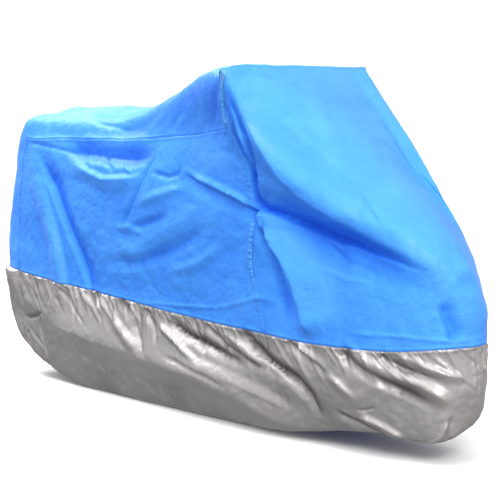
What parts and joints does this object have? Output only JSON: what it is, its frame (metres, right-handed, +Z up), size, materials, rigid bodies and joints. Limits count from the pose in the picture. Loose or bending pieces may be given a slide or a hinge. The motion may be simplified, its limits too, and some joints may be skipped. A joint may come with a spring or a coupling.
{
  "type": "motorcycle cover",
  "caption": "Fitted motorcycle cover in its hanging form: blue upper cloth rising to a ridge over the bars, and a gathered silver skirt drawn in under the bottom edge.",
  "frame": {"origin": "under the middle of the cover, level with its lowest point", "axes": "+X towards the front, +Y towards the left side, +Z up"},
  "size_m": [2.2488, 0.6924, 1.2162],
  "materials": {
    "blue_cloth": "smooth coated cloth with a soft sheen",
    "silver_cloth": "silver coated cloth, satin"
  },
  "bodies": {
    "root": {"side_panel_right": "blue_cloth", "side_panel_left": "blue_cloth", "front_panel": "blue_cloth", "centre_panel": "blue_cloth", "skirt_right": "silver_cloth", "skirt_left": "silver_cloth", "skirt_rear": "silver_cloth"}
  },
  "joints": []
}
